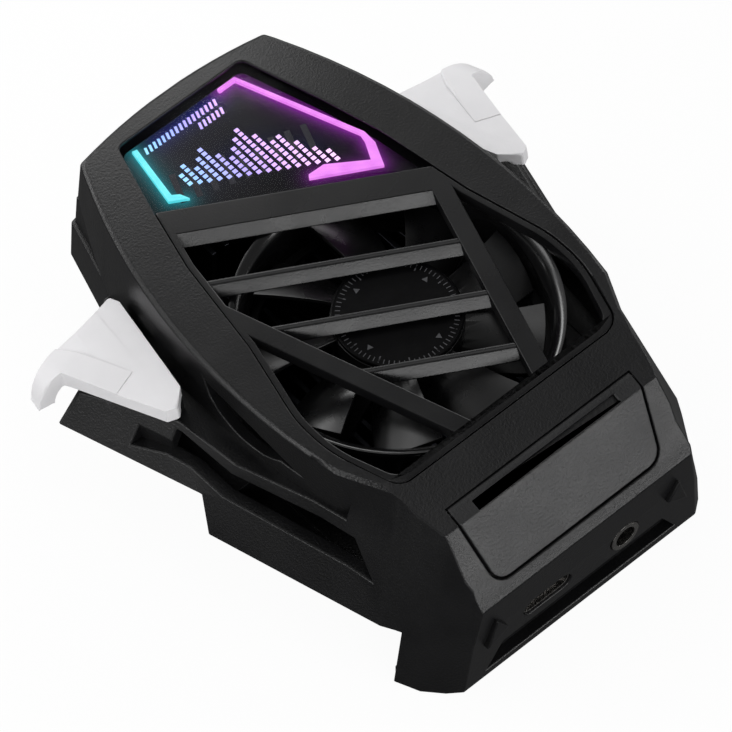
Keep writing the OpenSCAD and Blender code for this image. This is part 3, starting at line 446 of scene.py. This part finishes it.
def strayPoints(mesh, skin, width):  # points that a bevel threw off the skin, or faces that it turned over
    limit = bevelRules["off"] * width
    strays = [v.co.copy() for v in mesh.vertices if skin.find_nearest(v.co)[3] > limit]
    for face in mesh.polygons:
        if face.area < bevelRules["tiny"]:
            continue
        normal, gap = skin.find_nearest(face.center)[1::2]
        if gap < limit and face.normal.dot(normal) < bevelRules["turned"]:
            strays.append(face.center.copy())
    return strays


def roundEdges(piece, edge):  # bevel on the edges that fold more than so many degrees, where there is room for it
    sharp = piece.data.copy()
    skin = faceTree(sharp)
    seam = faceTree(nodes[edge["seam"]].data) if "seam" in edge else None
    spared = []
    for tries in range(bevelRules["tries"]):
        makeActive(piece)
        bpy.ops.object.shade_smooth()
        markEdges(piece, edge, seam, spared, edge["width"] * mm * (bevelRules["clear"] + tries))
        bevel = piece.modifiers.new("edge", "BEVEL")
        bevel.width = edge["width"] * mm
        bevel.segments = edge["rings"]
        bevel.limit_method = "WEIGHT"
        bevel.use_clamp_overlap = False
        bpy.ops.object.modifier_apply(modifier="edge")
        strays = strayPoints(piece.data, skin, edge["width"] * mm)
        if not strays:
            break
        spared += strays
        piece.data = sharp.copy()  # after the last try the piece stays sharp
    print("  edges of", piece.name, "tries", tries, "spared", len(spared), "left", len(strays))
    bpy.ops.object.shade_smooth_by_angle(angle=math.radians(edge["smooth"]))
    even = piece.modifiers.new("even", "WEIGHTED_NORMAL")  # keeps wide flat faces flat beside their bevels
    even.keep_sharp = True
    bpy.ops.object.modifier_apply(modifier="even")


def settle(piece, material, slot, *stoodFor):  # finish, slot (not used), body and the nodes that it stands for
    coat(piece, material)
    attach(piece, nodes[stoodFor[0]]["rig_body"])
    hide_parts(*stoodFor)


# Mouldings and metal pieces: the CAD solids with their edges broken as the tool leaves them
mouldings = {
    "front_shell": ("faceShell", shellAbs, "shell_black", {"width": 0.24, "fold": 22, "rings": 3, "smooth": 30,
                                                           "seam": "base_shell"}),
    "base_shell": ("baseShell", shellAbs, "shell_black", {"width": 0.26, "fold": 22, "rings": 3, "smooth": 30,
                                                          "seam": "front_shell"}),
    "grille": ("grilleInsert", grilleAbs, "grille_black", {"width": 0.3, "fold": 24, "rings": 2, "smooth": 30}),
    "rear_cover": ("rearCover", shellAbs, "shell_black", {"width": 0.2, "fold": 30, "rings": 2, "smooth": 30}),
    "leg_cover": ("legCover", shellAbs, "shell_black", {"width": 0.2, "fold": 30, "rings": 2, "smooth": 30}),
    "clamp_slider": ("clampSlider", shellAbs, "shell_black", {"width": 0.4, "fold": 24, "rings": 3, "smooth": 30}),
    "kickstand": ("kickstandFlap", flapAbs, "shell_black", {"width": 0.25, "fold": 24, "rings": 3, "smooth": 30}),
    "paddle_left": ("paddleLeft", paddleAbs, "paddle_white", {"width": 0.45, "fold": 30, "rings": 4, "smooth": 40}),
    "paddle_right": ("paddleRight", paddleAbs, "paddle_white", {"width": 0.45, "fold": 30, "rings": 4, "smooth": 40}),
    "fan_rotor": ("fanRotor", fanPbt, "fan_black", {"width": 0.12, "fold": 45, "rings": 2, "smooth": 45}),
    "fan_shroud": ("fanShroud", ductPc, "fan_black", {"width": 0.15, "fold": 30, "rings": 2, "smooth": 40}),
    "fan_frame": ("fanFrame", innerAbs, "fan_black", {"width": 0.15, "fold": 30, "rings": 2, "smooth": 40}),
    "hub_cap": ("hubDisc", discLabel, "hub_print", {"width": 0.08, "fold": 30, "rings": 2, "smooth": 40}),
    "window_lens": ("windowLens", lensAcrylic, "smoked_lens", {"width": 0.12, "fold": 30, "rings": 2, "smooth": 30}),
    "cold_plate": ("coldPlate", plateMetal, "plate_aluminium", {"width": 0.2, "fold": 40, "rings": 2, "smooth": 30}),
    "heatsink": ("sinkFins", sinkMetal, "sink_aluminium", {"width": 0.08, "fold": 40, "rings": 1, "smooth": 30}),
    "usb_receptacle": ("portShell", nickelSteel, "connector_steel",
                       {"width": 0.1, "fold": 40, "rings": 2, "smooth": 40}),
    "audio_jack": ("jackBarrel", nickelSteel, "connector_steel",
                   {"width": 0.12, "fold": 40, "rings": 2, "smooth": 40}),
    "phone_plug": ("plugTongue", nickelSteel, "connector_steel",
                   {"width": 0.15, "fold": 40, "rings": 2, "smooth": 40}),
    "clamp_pad": ("clampPad", padRubber, "pad_rubber", {"width": 0.2, "fold": 40, "rings": 3, "smooth": 40}),
    "leg_pad": ("legPad", padRubber, "pad_rubber", {"width": 0.2, "fold": 40, "rings": 3, "smooth": 40}),
    "rear_strips": ("rearStrips", padRubber, "pad_rubber", {"width": 0.2, "fold": 40, "rings": 3, "smooth": 40}),
}
for node, (name, material, slot, edge) in mouldings.items():
    piece = takeOver(name, node)
    roundEdges(piece, edge)
    settle(piece, material, slot, node)
    print(name, len(piece.data.polygons))

# Inner pieces that stay as the CAD has them, in their own finishes
innerFinish = {
    "port_plate": innerAbs, "rotor_magnet": ferrite, "motor_stator": copperWire, "motor_shaft": pinSteel,
    "sleeve_bearing": bearingBronze, "thermo_module": alumina, "main_board": solderMask, "guide_rods": pinSteel,
    "kickstand_pin": pinSteel, "paddle_pin_left": pinSteel, "paddle_pin_right": pinSteel,
    "paddle_switches": switchNylon, "cover_screws": pinSteel, "light_strip_left": cyanSilicone,
    "light_strip_right": pinkSilicone,
}
for node, material in innerFinish.items():
    coat(nodes[node], material)

# Light guide: the window's sheet cut into a fine grid, so that each point can carry the painted glow round the lamps
# and the painted reflection
guide = {"cell": 0.6, "cyan": "#1fb6c4", "pink": "#c13be0", "blue": "#2b3fd0", "paintedReflection": "#8c8c92"}
piece = takeOver("lightGuide", "display_plate")
lowCorner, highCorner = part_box("display_plate")
makeActive(piece)
bpy.ops.object.mode_set(mode="EDIT")
for axis in (0, 1):
    steps = int((highCorner[axis] - lowCorner[axis]) / (guide["cell"] * mm))
    for step in range(1, steps):
        spot = [0, 0, 0]
        normal = [0, 0, 0]
        spot[axis] = lowCorner[axis] + step * guide["cell"] * mm
        normal[axis] = 1
        bpy.ops.mesh.select_all(action="SELECT")
        bpy.ops.mesh.bisect(plane_co=spot, plane_no=normal)
bpy.ops.object.mode_set(mode="OBJECT")


def distanceTo(spot, line):  # from a point to a polyline, in millimetres
    best = 1e9
    for a, b in zip(line, line[1:]):
        a, b = Vector(a), Vector(b)
        along = max(0, min(1, (spot - a).dot(b - a) / (b - a).length_squared))
        best = min(best, (spot - a - (b - a) * along).length)
    return best


halos = [  # lamp line in mm, colour, reach in mm, strength
    ([(-9.7, 46.2), (-11.4, 36.3), (-9.8, 35)], guide["cyan"], 0.9, 0.6),
    ([(6.8, 46.3), (9.6, 46.3), (16.9, 26.5), (15.4, 21), (7, 25.6)], guide["pink"], 0.8, 0.6),
    ([(-6, 45.6), (5, 45.8)], guide["blue"], 1.1, 0.22),
    ([(-6, 37), (4, 36), (10, 30)], guide["blue"], 2, 0.035),
    # painted reflection: a soft grey sheen over the window's left part, with no lamp behind it
    ([(-8, 43), (-7, 36)], guide["paintedReflection"], 7, 0.06),
]
layer = piece.data.color_attributes.new("halo", "FLOAT_COLOR", "POINT")
for vertex, item in zip(piece.data.vertices, layer.data):
    spot = Vector((vertex.co.x, vertex.co.y)) / mm
    shade = Vector((0.0, 0.0, 0.0))
    for line, code, reach, power in halos:
        shade += Vector(hexColor(code)[:3]) * power * math.exp(-distanceTo(spot, line) / reach)
    item.color = (shade.x, shade.y, shade.z, 1)
settle(piece, guideAcrylic, "light_guide", "display_plate")
print("light guide", len(piece.data.polygons))


padTaper = 0.86  # top of a printed chip as a share of its foot


def makePad(name, size, place, height):  # a flat chip with sloped sides, the start of a printed mark
    deselectAll()
    bpy.ops.mesh.primitive_plane_add(size=1, location=(0, 0, 0))
    pad = bpy.context.object
    pad.name = name
    pad.scale = (size[0] * mm, size[1] * mm, 1)
    bpy.ops.object.transform_apply(location=True, rotation=True, scale=True)
    bpy.ops.object.mode_set(mode="EDIT")
    bpy.ops.mesh.select_all(action="SELECT")
    bpy.ops.mesh.extrude_region_move(TRANSFORM_OT_translate={"value": (0, 0, height * mm)})
    bpy.ops.transform.resize(value=(padTaper, padTaper, 1))
    bpy.ops.mesh.select_all(action="SELECT")
    bpy.ops.mesh.normals_make_consistent(inside=False)
    bpy.ops.transform.translate(value=Vector(place) * mm)
    bpy.ops.object.mode_set(mode="OBJECT")
    return pad


def leanAt(piece, lean, place):  # turned about the upright by so many degrees, then moved, in mm
    makeActive(piece)
    bpy.ops.object.mode_set(mode="EDIT")
    bpy.ops.mesh.select_all(action="SELECT")
    bpy.ops.transform.rotate(value=math.radians(lean), orient_axis="Z", center_override=(0, 0, 0))
    bpy.ops.transform.translate(value=Vector(place) * mm)
    bpy.ops.object.mode_set(mode="OBJECT")


def repeatAlong(piece, count, step):  # copies in a row, step in mm
    makeActive(piece)
    row = piece.modifiers.new("row", "ARRAY")
    row.use_relative_offset = False
    row.use_constant_offset = True
    row.constant_offset_displace = Vector(step) * mm
    row.count = count
    bpy.ops.object.modifier_apply(modifier="row")


def joinAll(name, parts):  # one piece out of many
    deselectAll()
    for part in parts:
        part.select_set(True)
    bpy.context.view_layer.objects.active = parts[0]
    bpy.ops.object.join()
    parts[0].name = name
    return parts[0]


# Shade bars: a faint row of smoky slats under the level bars
shadeBars = {"bar": (0.95, 5.4), "lean": 21, "start": (-9.2, 37.2), "step": (2.5, -0.75), "count": 9, "height": 0.02}
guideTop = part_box("display_plate")[1].z / mm
veil = makePad("shadeBars", shadeBars["bar"], (0, 0, 0), shadeBars["height"])
leanAt(veil, shadeBars["lean"], (*shadeBars["start"], guideTop))
repeatAlong(veil, shadeBars["count"], (*shadeBars["step"], 0))
coat(veil, veilInk)
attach(veil, "base")
print("shade bars", len(veil.data.polygons))

# Lamp dots: level bars that rise and fall along the window's lower edge
levelBars = {"levels": (3, 5, 4, 6, 8, 6, 5, 7, 9, 11, 9, 7, 8, 6, 4, 3), "dot": (0.72, 0.66),
             "pitch": (1.25, 0.92), "start": (-7.3, 36.7), "slope": -0.582, "height": 0.06}
bars = []
for i, count in enumerate(levelBars["levels"]):
    x = levelBars["start"][0] + i * levelBars["pitch"][0]
    y = levelBars["start"][1] + (x - levelBars["start"][0]) * levelBars["slope"]
    bar = makePad("levelBar", levelBars["dot"], (x, y, guideTop), levelBars["height"])
    repeatAlong(bar, count, (0, levelBars["pitch"][1], 0))
    bars.append(bar)
# Hatch marks along the window's far edge
hatch = {"dash": (0.42, 1.25), "lean": 20, "pitch": 0.82, "height": 0.06,
         "rows": (((-8.2, 45.3), 17), ((0.6, 43.5), 6))}  # start in mm and count of each row
for place, count in hatch["rows"]:
    dash = makePad("hatchRow", hatch["dash"], (0, 0, 0), hatch["height"])
    leanAt(dash, hatch["lean"], (*place, guideTop))
    repeatAlong(dash, count, (hatch["pitch"], 0, 0))
    bars.append(dash)
lampDots = joinAll("lampDots", bars)
coat(lampDots, dotInk)
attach(lampDots, "base")
print("lamp dots", len(lampDots.data.polygons))

# Hub scale: short and long ticks round the fan's disc, with four small pointers
hubScale = {"short": (0.75, 0.13), "long": (1.15, 0.17), "outer": 8.95, "ticks": 72, "longTicks": 12, "height": 0.03,
            "rim": 0.25, "pointers": (14, 104, 194, 284), "pointerSize": 0.55, "pointerRing": 7.1}
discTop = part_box("hub_cap")[1].z / mm - hubScale["rim"]
marks = []
for size, count in ((hubScale["short"], hubScale["ticks"]), (hubScale["long"], hubScale["longTicks"])):
    tick = makePad("hubTick", size, (hubScale["outer"] - size[0] / 2, 0, discTop), hubScale["height"])
    makeActive(tick)
    bpy.ops.object.mode_set(mode="EDIT")
    bpy.ops.mesh.select_all(action="SELECT")
    bpy.ops.mesh.spin(steps=count - 1, angle=2 * math.pi * (count - 1) / count, center=(0, 0, 0), axis=(0, 0, 1),
                      dupli=True)
    bpy.ops.object.mode_set(mode="OBJECT")
    marks.append(tick)
for angle in hubScale["pointers"]:
    deselectAll()
    bpy.ops.mesh.primitive_circle_add(vertices=3, radius=hubScale["pointerSize"] * mm, fill_type="NGON")
    pointer = bpy.context.object
    bpy.ops.object.mode_set(mode="EDIT")
    bpy.ops.mesh.select_all(action="SELECT")
    bpy.ops.mesh.extrude_region_move(TRANSFORM_OT_translate={"value": (0, 0, hubScale["height"] * mm)})
    bpy.ops.mesh.select_all(action="SELECT")
    bpy.ops.mesh.normals_make_consistent(inside=False)
    turnBy = math.radians(angle)
    bpy.ops.transform.rotate(value=math.pi / 2 - turnBy, orient_axis="Z", center_override=(0, 0, 0))
    ring = hubScale["pointerRing"]
    bpy.ops.transform.translate(value=Vector((ring * math.cos(turnBy), ring * math.sin(turnBy), discTop)) * mm)
    bpy.ops.object.mode_set(mode="OBJECT")
    marks.append(pointer)
hubMarks = joinAll("hubMarks", marks)
coat(hubMarks, tickInk)
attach(hubMarks, "rotor")
print("hub marks", len(hubMarks.data.polygons))
